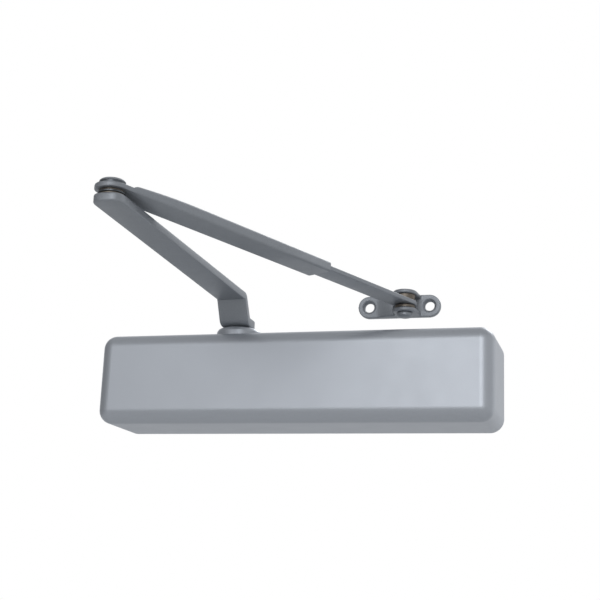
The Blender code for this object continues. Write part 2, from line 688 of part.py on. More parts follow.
def make_forearm():
    """A flat tube, pressed to a plate at the elbow, and the rod that slides in it."""
    corner = 1.8 * MM
    plate_corner = 0.6 * MM
    tube = loft("forearm_tube", [
        (3 * MM, TUBE_WIDTH - 0.8 * MM, PLATE_THICKNESS, plate_corner),
        (9 * MM, TUBE_WIDTH - 0.8 * MM, PLATE_THICKNESS, plate_corner),
        (12.5 * MM, TUBE_WIDTH - 0.4 * MM, 4.6 * MM, 1.0 * MM),
        (20 * MM, TUBE_WIDTH - 0.1 * MM, 5.5 * MM, 1.4 * MM),
        (40 * MM, TUBE_WIDTH, 6.7 * MM, 1.7 * MM),
        (60 * MM, TUBE_WIDTH, TUBE_HEIGHT, corner),
        (TUBE_LENGTH, TUBE_WIDTH, TUBE_HEIGHT, corner),
    ], ARM_PAINT, rising=True)
    eye = cylinder("join_forearm_eye", TUBE_WIDTH / 2 - 0.2 * MM, -PLATE_THICKNESS / 2, PLATE_THICKNESS / 2,
                   ELBOW, sides=28)
    join(tube, eye)
    inside = loft("cut_tube_inside", [
        (50 * MM, ROD_WIDTH + 2 * GAP, ROD_HEIGHT + 2 * GAP, 1.2 * MM),
        (TUBE_LENGTH + 10 * MM, ROD_WIDTH + 2 * GAP, ROD_HEIGHT + 2 * GAP, 1.2 * MM),
    ])
    cut(tube, inside)
    cut(tube, cylinder("cut_forearm_eye", 5.3 * MM, -5 * MM, 5 * MM, ELBOW, sides=20))
    rod = loft("forearm_rod", [
        (ROD_START, ROD_WIDTH, ROD_HEIGHT, 1.0 * MM),
        (FOREARM_REACH, ROD_WIDTH, ROD_HEIGHT, 1.0 * MM),
    ], ARM_PAINT)
    rod_eye = cylinder("join_rod_eye", ROD_WIDTH / 2, -ROD_HEIGHT / 2, ROD_HEIGHT / 2, PIN, sides=28)
    join(rod, rod_eye)
    cut(rod, cylinder("cut_rod_eye", 4.3 * MM, -6 * MM, 6 * MM, PIN, sides=20))
    for index, distance in enumerate((168 * MM, 186 * MM), start=1):
        make_clamp_screw(tube, index, distance)
    return tube, rod


def make_clamp_screw(tube, index, distance):
    """A button-head screw through the tube's top wall that locks the rod."""
    foot = ELBOW + FOREARM_DIR * distance
    foot.z = PLATE_MID + TUBE_RISE - distance * math.tan(FOREARM_FALL)
    wall_top = TUBE_HEIGHT / 2 + 0.45 * MM
    cut(tube, cylinder("cut_clamp_%d" % index, 2.3 * MM, 1 * MM, 8 * MM, foot, sides=16))
    profile = [(0, wall_top + 2.3 * MM), (2.4 * MM, wall_top + 2.1 * MM), (3.9 * MM, wall_top + 0.8 * MM),
               (3.9 * MM, wall_top), (2 * MM, wall_top), (2 * MM, ROD_HEIGHT / 2 + 0.4 * MM),
               (0, ROD_HEIGHT / 2 + 0.4 * MM)]
    turned("clamp_screw_%d" % index, profile, foot, material=STEEL, sides=16, closed=False)


# ---------------------------------------------------------------- shoe
def make_shoe():
    """The frame shoe: a two-hole plate with two lugs for the rod's pin."""
    outline = arc(HOLE_LEFT, SHOE_Z, LOBE_RADIUS, 90, 270, 14)
    outline += arc(HOLE_RIGHT, SHOE_Z, LOBE_RADIUS, -90, 90, 14)
    shoe = plate("frame_shoe", outline, -SHOE_THICKNESS, 0, "XZ", ARM_PAINT)
    lug_plan = [(PIN.x + 10.5 * MM, -2 * MM), (PIN.x - 13 * MM, -2 * MM), (PIN.x - LUG_RADIUS, PIN.y + 6 * MM)]
    lug_plan += arc(PIN.x, PIN.y, LUG_RADIUS, 180, 360, 12)
    low = SHOE_Z - LOBE_RADIUS + 0.2 * MM
    high = SHOE_Z + LOBE_RADIUS - 0.2 * MM
    lower = plate("join_lower_lug", lug_plan, low, low + LUG_THICKNESS)
    upper = plate("join_upper_lug", lug_plan, high - LUG_THICKNESS, high)
    gusset = plate("join_gusset", [(58 * MM, -3 * MM), (58 * MM, -SHOE_THICKNESS), (70 * MM, -8.4 * MM),
                                   (74 * MM, -3 * MM)], low + 0.2 * MM, high - 0.2 * MM)
    join(shoe, lower, upper, gusset)
    for side, x in (("left", HOLE_LEFT), ("right", HOLE_RIGHT)):
        centre = (x, 0, SHOE_Z)
        hole = cylinder("cut_shoe_hole_" + side, SHOE_HOLE_RADIUS, -9 * MM, 5 * MM, centre, "Y",
                        sides=24)
        sink = cylinder("cut_shoe_sink_" + side, SHOE_HOLE_RADIUS + 3.8 * MM, -7 * MM, -1.5 * MM,
                        centre, "Y", sides=24, top_radius=SHOE_HOLE_RADIUS - 1.7 * MM)
        cut(shoe, hole)
        cut(shoe, sink)
    cut(shoe, cylinder("cut_pin_hole", 4.3 * MM, low - 5 * MM, high + 5 * MM, (PIN.x, PIN.y, 0), sides=20))
    make_shoe_pin(low, high)
    return shoe


def make_shoe_pin(low, high):
    """The rivet and its two brass washers."""
    centre = (PIN.x, PIN.y, 0)
    profile = [(0, high + 1.5 * MM), (3.8 * MM, high + 1.2 * MM), (5.4 * MM, high + GAP),
               (4 * MM, high + GAP), (4 * MM, low - GAP), (6.2 * MM, low - GAP),
               (6.2 * MM, low - 2.6 * MM), (4.4 * MM, low - 3.9 * MM), (0, low - 4.2 * MM)]
    turned("shoe_rivet", profile, centre, material=ARM_PAINT, sides=20, closed=False)
    lower_gap = low + LUG_THICKNESS
    upper_gap = high - LUG_THICKNESS
    inner = 4.3 * MM
    rod_low = PIN.z - ROD_HEIGHT / 2 - 0.45 * MM
    rod_high = PIN.z + ROD_HEIGHT / 2 + 0.45 * MM
    ring("shoe_lower_washer", 8 * MM, inner, lower_gap + GAP, rod_low, centre, material=BRONZE, sides=24)
    ring("shoe_upper_washer", 8 * MM, inner, rod_high, upper_gap - GAP, centre, material=BRONZE, sides=24)


# ---------------------------------------------------------------- build
make_cover()
make_body()
make_valves()
make_plug("left", -1)
make_plug("right", 1)
make_pinion()
make_piston()
make_spindle_fittings()
make_springs()
make_main_arm()
make_arm_fasteners()
make_elbow()
make_forearm()
make_shoe()
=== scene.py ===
"""Looks for the door closer: painted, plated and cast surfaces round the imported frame.

Metres, row frame: +X along the cover, +Y into the door, +Z up.
"""
import math

import bmesh
import bpy
from mathutils import Matrix, Vector


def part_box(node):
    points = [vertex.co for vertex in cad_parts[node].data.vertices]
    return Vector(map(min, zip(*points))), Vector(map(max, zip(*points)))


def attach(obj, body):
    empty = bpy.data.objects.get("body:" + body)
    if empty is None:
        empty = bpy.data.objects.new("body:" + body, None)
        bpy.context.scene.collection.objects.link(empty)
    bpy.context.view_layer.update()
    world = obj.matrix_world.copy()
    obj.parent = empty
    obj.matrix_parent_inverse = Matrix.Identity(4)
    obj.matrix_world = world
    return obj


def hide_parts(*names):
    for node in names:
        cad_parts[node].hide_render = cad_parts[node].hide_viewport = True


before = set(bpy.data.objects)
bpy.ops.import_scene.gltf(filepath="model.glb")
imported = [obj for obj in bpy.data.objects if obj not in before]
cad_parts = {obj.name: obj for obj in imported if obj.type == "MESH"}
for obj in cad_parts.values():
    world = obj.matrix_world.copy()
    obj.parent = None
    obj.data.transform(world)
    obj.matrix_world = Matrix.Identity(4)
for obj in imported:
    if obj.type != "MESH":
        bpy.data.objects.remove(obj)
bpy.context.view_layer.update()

MM = 0.001
GAP = 0.3 * MM           # between pieces that touch in the real thing
OVERCUT = 5 * MM         # how far a cutter stands out of what it cuts
ELBOW_BORE = 5.3 * MM
RIVET_BORE = 4.3 * MM
WELD = 0.001 * MM        # points nearer than this are one point
NOISE_LOW = 0.3          # the values between which nearly all of a noise lies
NOISE_HIGH = 0.7

# Camera: where it stands, its heading and its lens
CAMERA_PLACE = Vector((271.3, -946, -178.6)) * MM
CAMERA_YAW = math.radians(16.59)
CAMERA_PITCH = math.radians(14.49)
CAMERA_ROLL = math.radians(2.33)
CAMERA_LENS = 73.08
SENSOR_WIDTH = 36

# Cover
COVER_WALL = 2 * MM
COVER_ROUND = 11 * MM
NOTCH_RADIUS = 19.4 * MM
SCREW_HOLE = 2.6 * MM

# Main arm
HUB_RADIUS = 12.1 * MM
HUB_THICKNESS = 7 * MM
BAR_THICKNESS = 5.8 * MM
BAR_HALF_ROOT = 12.1 * MM
BAR_HALF_TIP = 10.2 * MM
NOSE_REACH = 10 * MM
RISER_LEAN = math.radians(30.4)
RISER_FOOT = 12.1 * MM
ARM_EDGE = 1.1 * MM
ARM_BEND = 4.3 * MM
ARM_OVERRUN = 20 * MM    # the path goes on this far past the spindle and the elbow
SOCKET_HALF = 5.2 * MM

# Forearm
FOREARM_ANGLE = math.radians(25.9)
FOREARM_FALL = math.radians(2.0)
PLATE_THICKNESS = 3 * MM
TUBE_HALF = 11.3 * MM
TUBE_HEIGHT = 7.4 * MM
TUBE_WALL = 1.7 * MM
TUBE_LENGTH = 198 * MM
PLATE_INSET = 0.2 * MM   # the plate is this much narrower than the tube on each side
BORE_START = 50 * MM
# The tube's height at a distance from the elbow, both in mm, as the plate opens into the tube
TUBE_SWELL = ((9.1, 3.2), (9.8, 3.6), (10.7, 4.1), (11.8, 4.55), (13.2, 4.85), (15.2, 5.1), (18, 5.3),
              (21, 5.55), (25, 5.85), (30, 6.2), (36, 6.55), (42, 6.85), (50, 7.15), (60, 7.35), (70, 7.4),
              (110, 7.4), (150, 7.4))
ROD_HALF = 9.3 * MM
ROD_HEIGHT = 3.4 * MM
ROD_START = 118 * MM
REACH = 302.2 * MM

# Studio: the front window is (direction across, light) from left to right
FLOOR_HEIGHT = -0.5
FLOOR_HALF = 1.5
FRONT_WINDOW = ((-0.8, 0.08), (-0.45, 0.13), (-0.3, 0.34), (-0.1, 0.77), (0.12, 0.95), (0.3, 1.0),
                (0.46, 0.12))
FRONT_LIGHT = 2.48
BACK_LIGHT = 0.48
RIGHT_LIGHT = 0.27
TOP_LIGHT = 0.16
AMBIENT_LIGHT = 0.22
# Where each light begins and where it is full, as a part of a direction of length 1
FRONT_EDGE = (-0.5, -0.78)
FRONT_FOOT = (-0.14, 0.08)
FRONT_HEAD = (0.6, 0.36)
BACK_EDGE = (0.3, 0.72)
RIGHT_EDGE = (0.55, 0.85)
TOP_EDGE = (0.5, 0.85)
SUN_ENERGY = 0.6
SUN_SPREAD = math.radians(25)
SUN_PLACE = (0.3, 0.9, 0.8)

# Shoe
SHOE_THICKNESS = 5 * MM
LOBE_RADIUS = 9.1 * MM
LUG_THICKNESS = 3.2 * MM
LUG_RADIUS = 9.5 * MM
SHOE_HOLE = 4 * MM
SHOE_SKIN = 0.2 * MM     # the smoothed forging stays this far inside its box


# ---------------------------------------------------------------- places read from the frame
def middle(node):
    low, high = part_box(node)
    return (low + high) / 2


COVER_LOW, COVER_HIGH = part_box("cover")
ARM_LOW, ARM_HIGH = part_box("main_arm")
SPINDLE = middle("pinion_shaft")
ELBOW = middle("elbow_pin")
PIN = middle("shoe_rivet")
SHOE_LOW, SHOE_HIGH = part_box("frame_shoe")
SHOE_Z = (SHOE_LOW.z + SHOE_HIGH.z) / 2
PLATE_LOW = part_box("elbow_cap")[0].z - GAP - PLATE_THICKNESS
PLATE_MID = PLATE_LOW + PLATE_THICKNESS / 2
TUBE_RISE = (TUBE_HEIGHT - PLATE_THICKNESS) / 2


# ---------------------------------------------------------------- shader helpers
def linear(code):
    """A hex sRGB colour as linear RGBA."""
    values = []
    for index in (0, 2, 4):
        share = int(code[index:index + 2], 16) / 255
        values.append(share / 12.92 if share <= 0.04045 else ((share + 0.055) / 1.055) ** 2.4)
    return (*values, 1)


def add(tree, kind, inputs=None, **settings):
    """One shader node, with its settings and with values or links on its sockets."""
    made = tree.nodes.new(kind)
    for name, value in settings.items():
        setattr(made, name, value)
    for name, value in (inputs or {}).items():
        if isinstance(value, bpy.types.NodeSocket):
            tree.links.new(value, made.inputs[name])
        else:
            made.inputs[name].default_value = value
    return made


def surface(name, **sockets):
    """A material with one Principled shader, whose constants sit on its own sockets."""
    material = bpy.data.materials.new(name)
    material.use_nodes = True
    tree = material.node_tree
    shader = tree.nodes["Principled BSDF"]
    for socket, value in sockets.items():
        shader.inputs[socket.replace("_", " ")].default_value = value
    return material, tree, shader


def grain(tree, size, detail=3, rough=0.5, stretch=(1, 1, 1)):
    """A noise whose blobs are about one size across, in metres, with an optional stretch."""
    place = add(tree, "ShaderNodeTexCoord")
    spread = add(tree, "ShaderNodeMapping", {"Vector": place.outputs["Object"], "Scale": stretch})
    return add(tree, "ShaderNodeTexNoise", {
        "Vector": spread.outputs["Vector"], "Scale": 1 / size, "Detail": detail, "Roughness": rough,
    }).outputs["Fac"]


def tint(tree, shader, factor, dark, light):
    """The base colour runs between two colours as a pattern does."""
    ramp = add(tree, "ShaderNodeValToRGB", {"Fac": factor})
    first, last = ramp.color_ramp.elements
    first.position = 0.35
    last.position = 0.65
    first.color = linear(dark)
    last.color = linear(light)
    tree.links.new(ramp.outputs["Color"], shader.inputs["Base Color"])


def polish(tree, shader, factor, low, high):
    """The roughness runs between two values as a pattern does."""
    span = add(tree, "ShaderNodeMapRange", {
        "Value": factor, "From Min": NOISE_LOW, "From Max": NOISE_HIGH, "To Min": low, "To Max": high,
    })
    tree.links.new(span.outputs["Result"], shader.inputs["Roughness"])


def relief(tree, shader, factor, depth):
    """Bumps of a real depth in metres."""
    bump = add(tree, "ShaderNodeBump", {"Height": factor, "Distance": depth, "Strength": 1.0})
    tree.links.new(bump.outputs["Normal"], shader.inputs["Normal"])


# ---------------------------------------------------------------- materials
def metallic_satin_paint():
    """Sprayed silver-grey metallic paint: satin gloss, fine flake and a faint orange peel."""
    material, tree, shader = surface("metallic_satin_paint", Metallic=0.7, IOR=1.5)
    flake = grain(tree, 0.5 * MM, detail=2)
    tint(tree, shader, flake, "c1c5cb", "c9cdd3")
    polish(tree, shader, grain(tree, 18 * MM), 0.39, 0.43)
    relief(tree, shader, grain(tree, 1.6 * MM, detail=1), 0.012 * MM)
    return material


def arm_paint_shaded_copy():
    """The same paint on forged steel, with a forged unevenness; its base colour is a little darker as painted
    shade, because the arms face down.
    """
    material, tree, shader = surface("metallic_paint_with_painted_shade", Metallic=0.5, IOR=1.5)
    flake = grain(tree, 0.6 * MM, detail=2)
    # Painted shade: the same paint's colour, set darker than on the cover, for arms that face down.
    tint(tree, shader, flake, "9ca0a5", "a7abb0")
    polish(tree, shader, grain(tree, 9 * MM), 0.42, 0.5)
    relief(tree, shader, grain(tree, 3.2 * MM, detail=3), 0.05 * MM)
    return material


def grey_iron_casting():
    """Bare sand-cast iron: dark, dull, with the sand's grain of about 0.7 mm."""
    material, tree, shader = surface("grey_iron_casting", Metallic=0.75)
    sand = grain(tree, 0.7 * MM, detail=4, rough=0.6)
    tint(tree, shader, grain(tree, 6 * MM, detail=4), "4a4b4d", "626466")
    polish(tree, shader, sand, 0.5, 0.7)
    relief(tree, shader, sand, 0.12 * MM)
    return material


def ground_steel():
    """Ground steel with a film of oil: bright, with fine level lines."""
    material, tree, shader = surface("ground_steel", Metallic=1.0)
    lines = grain(tree, 0.35 * MM, detail=2, stretch=(1, 1, 6))
    tint(tree, shader, lines, "a9abae", "bfc1c3")
    polish(tree, shader, lines, 0.22, 0.34)
    relief(tree, shader, lines, 0.01 * MM)
    return material


def zinc_plated_steel():
    """Bright zinc over rolled steel: pale, slightly blue, faintly clouded."""
    material, tree, shader = surface("zinc_plated_steel", Metallic=1.0)
    cloud = grain(tree, 2.5 * MM)
    tint(tree, shader, cloud, "b4b8bd", "cdd0d3")
    polish(tree, shader, cloud, 0.26, 0.36)
    relief(tree, shader, grain(tree, 0.4 * MM, detail=1), 0.01 * MM)
    return material


def blackened_steel():
    """Phosphated steel, for the elbow's middle washer and the foot of its nut: dark grey, half gloss."""
    material, tree, shader = surface("blackened_steel", Metallic=0.8)
    cloud = grain(tree, 2 * MM)
    tint(tree, shader, cloud, "66696d", "75797d")
    polish(tree, shader, cloud, 0.3, 0.4)
    relief(tree, shader, grain(tree, 0.5 * MM, detail=1), 0.015 * MM)
    return material


def oil_tempered_wire():
    """Oil-tempered spring wire: blue-black scale with brighter rubbed patches."""
    material, tree, shader = surface("oil_tempered_wire", Metallic=0.9)
    scale = grain(tree, 3 * MM, detail=4)
    tint(tree, shader, scale, "2b2e33", "4c5057")
    polish(tree, shader, scale, 0.3, 0.45)
    relief(tree, shader, grain(tree, 0.6 * MM), 0.02 * MM)
    return material


def oiled_bronze():
    """Sintered bronze soaked in oil: grey brown with open pores of 0.3 mm."""
    material, tree, shader = surface("oiled_sintered_bronze", Metallic=0.9)
    pores = grain(tree, 0.3 * MM, detail=2)
    tint(tree, shader, pores, "6f675f", "988e82")
    polish(tree, shader, pores, 0.35, 0.5)
    relief(tree, shader, pores, 0.03 * MM)
    return material


def nitrile_rubber():
    """Black moulded nitrile, wet with oil."""
    material, tree, shader = surface("nitrile_rubber", Metallic=0.0, IOR=1.52)
    bloom = grain(tree, 1.2 * MM)
    tint(tree, shader, bloom, "161616", "222223")
    polish(tree, shader, bloom, 0.35, 0.5)
    relief(tree, shader, bloom, 0.01 * MM)
    return material


COVER_PAINT = metallic_satin_paint()
ARM_PAINT_SHADED = arm_paint_shaded_copy()
IRON = grey_iron_casting()
STEEL = ground_steel()
ZINC = zinc_plated_steel()
DARK_STEEL = blackened_steel()
WIRE = oil_tempered_wire()
BRONZE = oiled_bronze()
RUBBER = nitrile_rubber()


# ---------------------------------------------------------------- mesh helpers
def new_object(name, bm, material):
    """An object from a bmesh, with its faces turned out."""
    bmesh.ops.recalc_face_normals(bm, faces=bm.faces)
    mesh = bpy.data.meshes.new(name)
    bm.to_mesh(mesh)
    bm.free()
    obj = bpy.data.objects.new(name, mesh)
    bpy.context.scene.collection.objects.link(obj)
    mesh.materials.append(material)
    return obj


def soften(obj, angle=32):
    """Smooth shading that keeps real corners."""
    obj.data.shade_smooth()
    obj.data.set_sharp_from_angle(angle=math.radians(angle))
    return obj


def carry(obj, body, slot, *nodes):
    """The piece rides on a body and stands for CAD nodes."""
    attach(obj, body)
    if nodes:
        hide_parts(*nodes)
    return obj


def bake_modifiers(obj):
    """Turn the modified shape into the object's own mesh."""
    graph = bpy.context.evaluated_depsgraph_get()
    mesh = bpy.data.meshes.new_from_object(obj.evaluated_get(graph))
    obj.modifiers.clear()
    old = obj.data
    obj.data = mesh
    bpy.data.meshes.remove(old)
    return obj


def arc(centre, radius, start, end, steps):
    """Points of an arc as (x, y), from start to end in degrees."""
    points = []
    for step in range(steps + 1):
        angle = math.radians(start + (end - start) * step / steps)
        points.append((centre[0] + radius * math.cos(angle), centre[1] + radius * math.sin(angle)))
    return points


def eased(points, radius, steps=4):
    """A closed outline with each corner rounded, as far as its sides allow."""
    result = []
    count = len(points)
    for index in range(count):
        here = Vector(points[index])
        before = Vector(points[index - 1]) - here
        after = Vector(points[(index + 1) % count]) - here
        reach = min(radius, before.length * 0.45, after.length * 0.45)
        first = here + before.normalized() * reach
        last = here + after.normalized() * reach
        for step in range(steps + 1):
            share = step / steps
            result.append((first * (1 - share) + here * share).lerp(here * (1 - share) + last * share, share))
    return [(point.x, point.y) for point in result]


QUARTERS = ((-1, -1), (1, -1), (1, 1), (-1, 1))    # the corners of a square, one after another
AXIS_TURN = {
    "X": Matrix.Rotation(math.pi / 2, 4, "Y"),
    "Y": Matrix.Rotation(-math.pi / 2, 4, "X"),
    "Z": Matrix.Identity(4),
}


def lathe(name, profile, centre, material, axis="Z", sides=64):
    """A turned piece: a closed outline of (radius, height) swept about an axis."""
    bm = bmesh.new()
    rows = []
    for side in range(sides):
        angle = 2 * math.pi * side / sides
        direction = Vector((math.cos(angle), math.sin(angle), 0))
        rows.append([bm.verts.new(direction * max(radius, 0) + Vector((0, 0, height)))
                     for radius, height in profile])
    count = len(profile)
    for side in range(sides):
        row = rows[side]
        following = rows[(side + 1) % sides]
        for index in range(count):
            after = (index + 1) % count
            if profile[index][0] <= 0 and profile[after][0] <= 0:
                continue
            bm.faces.new((row[index], following[index], following[after], row[after]))
    bmesh.ops.remove_doubles(bm, verts=bm.verts, dist=WELD)
    bmesh.ops.dissolve_degenerate(bm, edges=bm.edges, dist=WELD / 2)
    bm.transform(Matrix.Translation(centre) @ AXIS_TURN[axis])
    return soften(new_object(name, bm, material))


def slab(name, outline, low, high, material, plane="XY"):
    """A flat outline given a thickness: in the XY plane along Z, or in the XZ plane along Y."""
    bm = bmesh.new()
    if plane == "XY":
        base = [bm.verts.new((x, y, low)) for x, y in outline]
        lift = Vector((0, 0, high - low))
    else:
        base = [bm.verts.new((x, low, y)) for x, y in outline]
        lift = Vector((0, high - low, 0))
    face = bm.faces.new(base)
    raised = bmesh.ops.extrude_face_region(bm, geom=[face])
    moved = [item for item in raised["geom"] if isinstance(item, bmesh.types.BMVert)]
    bmesh.ops.translate(bm, verts=moved, vec=lift)
    return new_object(name, bm, material)


def add_booleans(obj, operation, tools):
    for tool in tools:
        boolean = obj.modifiers.new(operation.lower(), "BOOLEAN")
        boolean.operation = operation
        boolean.solver = "EXACT"
        boolean.object = tool


def bake_and_clear(obj, tools):
    """Bake a piece's modifiers and remove the shapes that they used."""
    bake_modifiers(obj)
    for tool in tools:
        bpy.data.objects.remove(tool, do_unlink=True)


def combine(obj, operation, *tools):
    """Join, intersect or cut a piece with other shapes, which are used up."""
    add_booleans(obj, operation, tools)
    bake_and_clear(obj, tools)


def carve(obj, *cutters):
    """Cut other shapes out of a piece; the cutters are used up."""
    combine(obj, "DIFFERENCE", *cutters)


def drill(radius, low, high, centre, axis="Z", sides=48):
    """A round cutter."""
    return lathe("drill", [(0, low), (radius, low), (radius, high), (0, high)], centre, STEEL, axis, sides)


def skin(name, sections, material):
    """Join rings of points, one after another, into one skin that is closed at both ends."""
    bm = bmesh.new()
    rows = [[bm.verts.new(point) for point in section] for section in sections]
    for first, second in zip(rows, rows[1:]):
        for index in range(len(first)):
            after = (index + 1) % len(first)
            bm.faces.new((first[index], first[after], second[after], second[index]))
    bm.faces.new(rows[0])
    bm.faces.new(rows[-1])
    return new_object(name, bm, material)


def rounded_section(half_width, half_height, corner, steps=5):
    """A rectangle with round corners, as (across, up)."""
    corner = min(corner, half_width * 0.98, half_height * 0.98)
    right = half_width - corner
    top = half_height - corner
    points = []
    for quarter, centre in enumerate(((right, top), (-right, top), (-right, -top), (right, -top))):
        points += arc(centre, corner, 90 * quarter, 90 * quarter + 90, steps)
    return points


def bent_bar(name, outline, thickness, edge, place, material):
    """A bar with soft edges all round, bent along a path.

    outline lists (distance, half width) from one tip to the other; place turns a distance, an
    offset across and an offset up into a point; thickness is a function of the distance.
    """
    steps = 4
    rings = []
    for step in range(steps + 1):
        angle = math.pi / 2 * step / steps
        rings.append((edge * (1 - math.sin(angle)), -1, edge * (1 - math.cos(angle))))
    rings += [(inset, 1, drop) for inset, _, drop in reversed(rings)]
    count = len(outline)
    normals = []
    for index in range(count):
        before = Vector(outline[max(index - 1, 0)])
        after = Vector(outline[min(index + 1, count - 1)])
        along = after - before
        if index == 0:
            normals.append(Vector((-1, 0)))
        elif index == count - 1:
            normals.append(Vector((1, 0)))
        else:
            normals.append(Vector((-along.y, along.x)).normalized())
    bm = bmesh.new()
    rows = []
    for inset, side, drop in rings:
        left = []
        right = []
        for (distance, width), normal in zip(outline, normals):
            moved = Vector((distance, width)) - normal * inset
            across = max(moved.y, 0)
            up = side * (thickness(distance) / 2 - drop)
            left.append(bm.verts.new(place(moved.x, across, up)))
            right.append(left[-1] if width == 0 else bm.verts.new(place(moved.x, -across, up)))
        rows.append((left, right))
    for first, second in zip(rows, rows[1:]):
        for hand in (0, 1):
            for index in range(count - 1):
                a, b = first[hand][index], first[hand][index + 1]
                c, d = second[hand][index + 1], second[hand][index]
                bm.faces.new((a, b, c, d))
    for left, right in (rows[0], rows[-1]):
        for index in range(count - 1):
            corners = [left[index], left[index + 1], right[index + 1], right[index]]
            unique = list(dict.fromkeys(corners))
            bm.faces.new(unique)
    return soften(new_object(name, bm, material), 50)


# ---------------------------------------------------------------- cover
def make_cover():
    """The slab cover: pressed steel with rounded front edges, open at the back."""
    size = COVER_HIGH - COVER_LOW
    bm = bmesh.new()
    shape = Matrix.Translation((COVER_LOW + COVER_HIGH) / 2) @ Matrix.Diagonal((*size, 1))
    bmesh.ops.create_cube(bm, size=1, matrix=shape)
    back = [face for face in bm.faces if face.calc_center_median().y > COVER_HIGH.y - 1 * MM]
    bmesh.ops.delete(bm, geom=back, context="FACES_ONLY")
    cover = new_object("cover_shell", bm, COVER_PAINT)
    rounds = cover.modifiers.new("rounds", "BEVEL")
    rounds.width = COVER_ROUND
    rounds.segments = 12
    wall = cover.modifiers.new("wall", "SOLIDIFY")
    wall.thickness = COVER_WALL
    wall.offset = -1
    bake_modifiers(cover)
    top = COVER_HIGH.z
    notch = [(SPINDLE.x + NOTCH_RADIUS, 10 * MM), (SPINDLE.x - NOTCH_RADIUS, 10 * MM)]
    notch += arc((SPINDLE.x, SPINDLE.y), NOTCH_RADIUS, 180, 360, 40)
    cutters = [slab("notch", notch, top - 6 * MM, top + 4 * MM, STEEL)]
    for side in ("left", "right"):
        screw = middle("cover_screw_" + side)
        cutters.append(drill(SCREW_HOLE, -OVERCUT, OVERCUT, (screw.x, screw.y, top)))
    carve(cover, *cutters)
    hem = cover.modifiers.new("hem", "BEVEL")
    hem.width = 0.35 * MM
    hem.segments = 2
    hem.limit_method = "ANGLE"
    hem.angle_limit = math.radians(50)
    even = cover.modifiers.new("even", "WEIGHTED_NORMAL")
    even.keep_sharp = True
    soften(cover, 50)
    return carry(cover, "body", "cover_enamel", "cover")


# ---------------------------------------------------------------- main arm
def arm_path():
    """The arm's centre line as (along, up): hub, riser and bar, with rounded bends."""
    hub_z = ARM_LOW.z + HUB_THICKNESS / 2
    bar_z = ARM_HIGH.z - BAR_THICKNESS / 2
    length = (Vector((ELBOW.x, ELBOW.y)) - Vector((SPINDLE.x, SPINDLE.y))).length
    head = RISER_FOOT + (bar_z - hub_z) * math.tan(RISER_LEAN)
    corners = [Vector((-ARM_OVERRUN, hub_z)), Vector((RISER_FOOT, hub_z)), Vector((head, bar_z)),
               Vector((length + ARM_OVERRUN, bar_z))]
    turn = math.pi / 2 - RISER_LEAN
    tangent = ARM_BEND * math.tan(turn / 2)
    points = [corners[0]]
    for before, here, after in zip(corners, corners[1:], corners[2:]):
        first = here + (before - here).normalized() * tangent
        last = here + (after - here).normalized() * tangent
        bisector = ((before - here).normalized() + (after - here).normalized()).normalized()
        centre = here + bisector * (ARM_BEND / math.cos(turn / 2))
        steps = 8
        for step in range(steps + 1):
            guess = first.lerp(last, step / steps)
            points.append(centre + (guess - centre).normalized() * ARM_BEND)
    points.append(corners[-1])
    return points


def make_main_arm():
    """The forged arm, with soft edges, a square socket at the hub and a blunt nose."""
    points = arm_path()
    travelled = [0]
    for first, second in zip(points, points[1:]):
        travelled.append(travelled[-1] + (second - first).length)
    spindle_at = ARM_OVERRUN
    elbow_at = travelled[-1] - ARM_OVERRUN
    heading = Vector((ELBOW.x - SPINDLE.x, ELBOW.y - SPINDLE.y, 0)).normalized()
    across = Vector((-heading.y, heading.x, 0))
    base = Vector((SPINDLE.x, SPINDLE.y, 0))

    def place(distance, aside, up):
        index = 0
        while index < len(travelled) - 2 and travelled[index + 1] < distance:
            index += 1
        share = (distance - travelled[index]) / (travelled[index + 1] - travelled[index])
        spot = points[index].lerp(points[index + 1], share)
        along = (points[index + 1] - points[index]).normalized()
        spot = spot + Vector((-along.y, along.x)) * up
        return base + heading * spot.x + across * aside + Vector((0, 0, spot.y))

    def thickness(distance):
        share = min(max((distance - travelled[1]) / (travelled[-2] - travelled[1]), 0), 1)
        return HUB_THICKNESS + (BAR_THICKNESS - HUB_THICKNESS) * share

    outline = []
    for step in range(17):
        angle = math.pi / 2 * step / 16
        outline.append((spindle_at - HUB_RADIUS * math.cos(angle), HUB_RADIUS * math.sin(angle)))
    outline[0] = (spindle_at - HUB_RADIUS, 0)
    stations = [spindle_at + 6 * MM, *travelled[1:-1]]
    spacing = 12 * MM
    count = int((elbow_at - travelled[-2]) / spacing)
    stations += [travelled[-2] + (elbow_at - travelled[-2]) * step / count for step in range(1, count)]
    root_at = spindle_at + 22 * MM
    for at in stations:
        if at < root_at:
            share = (at - spindle_at) / (root_at - spindle_at)
            outline.append((at, HUB_RADIUS + (BAR_HALF_ROOT - HUB_RADIUS) * share))
        else:
            share = (at - root_at) / (elbow_at - root_at)
            outline.append((at, BAR_HALF_ROOT + (BAR_HALF_TIP - BAR_HALF_ROOT) * share))
    bluntness = 2 / 2.8
    for step in range(15):
        angle = math.pi / 2 * step / 14
        width = BAR_HALF_TIP * max(math.cos(angle), 0) ** bluntness
        outline.append((elbow_at + NOSE_REACH * math.sin(angle) ** bluntness, width))
    outline[-1] = (elbow_at + NOSE_REACH, 0)
    arm = bent_bar("main_arm_forging", outline, thickness, ARM_EDGE, place, ARM_PAINT_SHADED)
    square = [(SPINDLE.x + x * SOCKET_HALF, SPINDLE.y + y * SOCKET_HALF) for x, y in QUARTERS]
    socket = slab("socket", eased(square, 0.6 * MM), ARM_LOW.z - OVERCUT,
                  ARM_LOW.z + HUB_THICKNESS + OVERCUT, STEEL)
    eye = drill(ELBOW_BORE, ARM_HIGH.z - 3.5 * MM, ARM_HIGH.z + OVERCUT, (ELBOW.x, ELBOW.y, 0))
    carve(arm, socket, eye)
    soften(arm, 50)
    return carry(arm, "spindle", "arm_enamel", "main_arm")


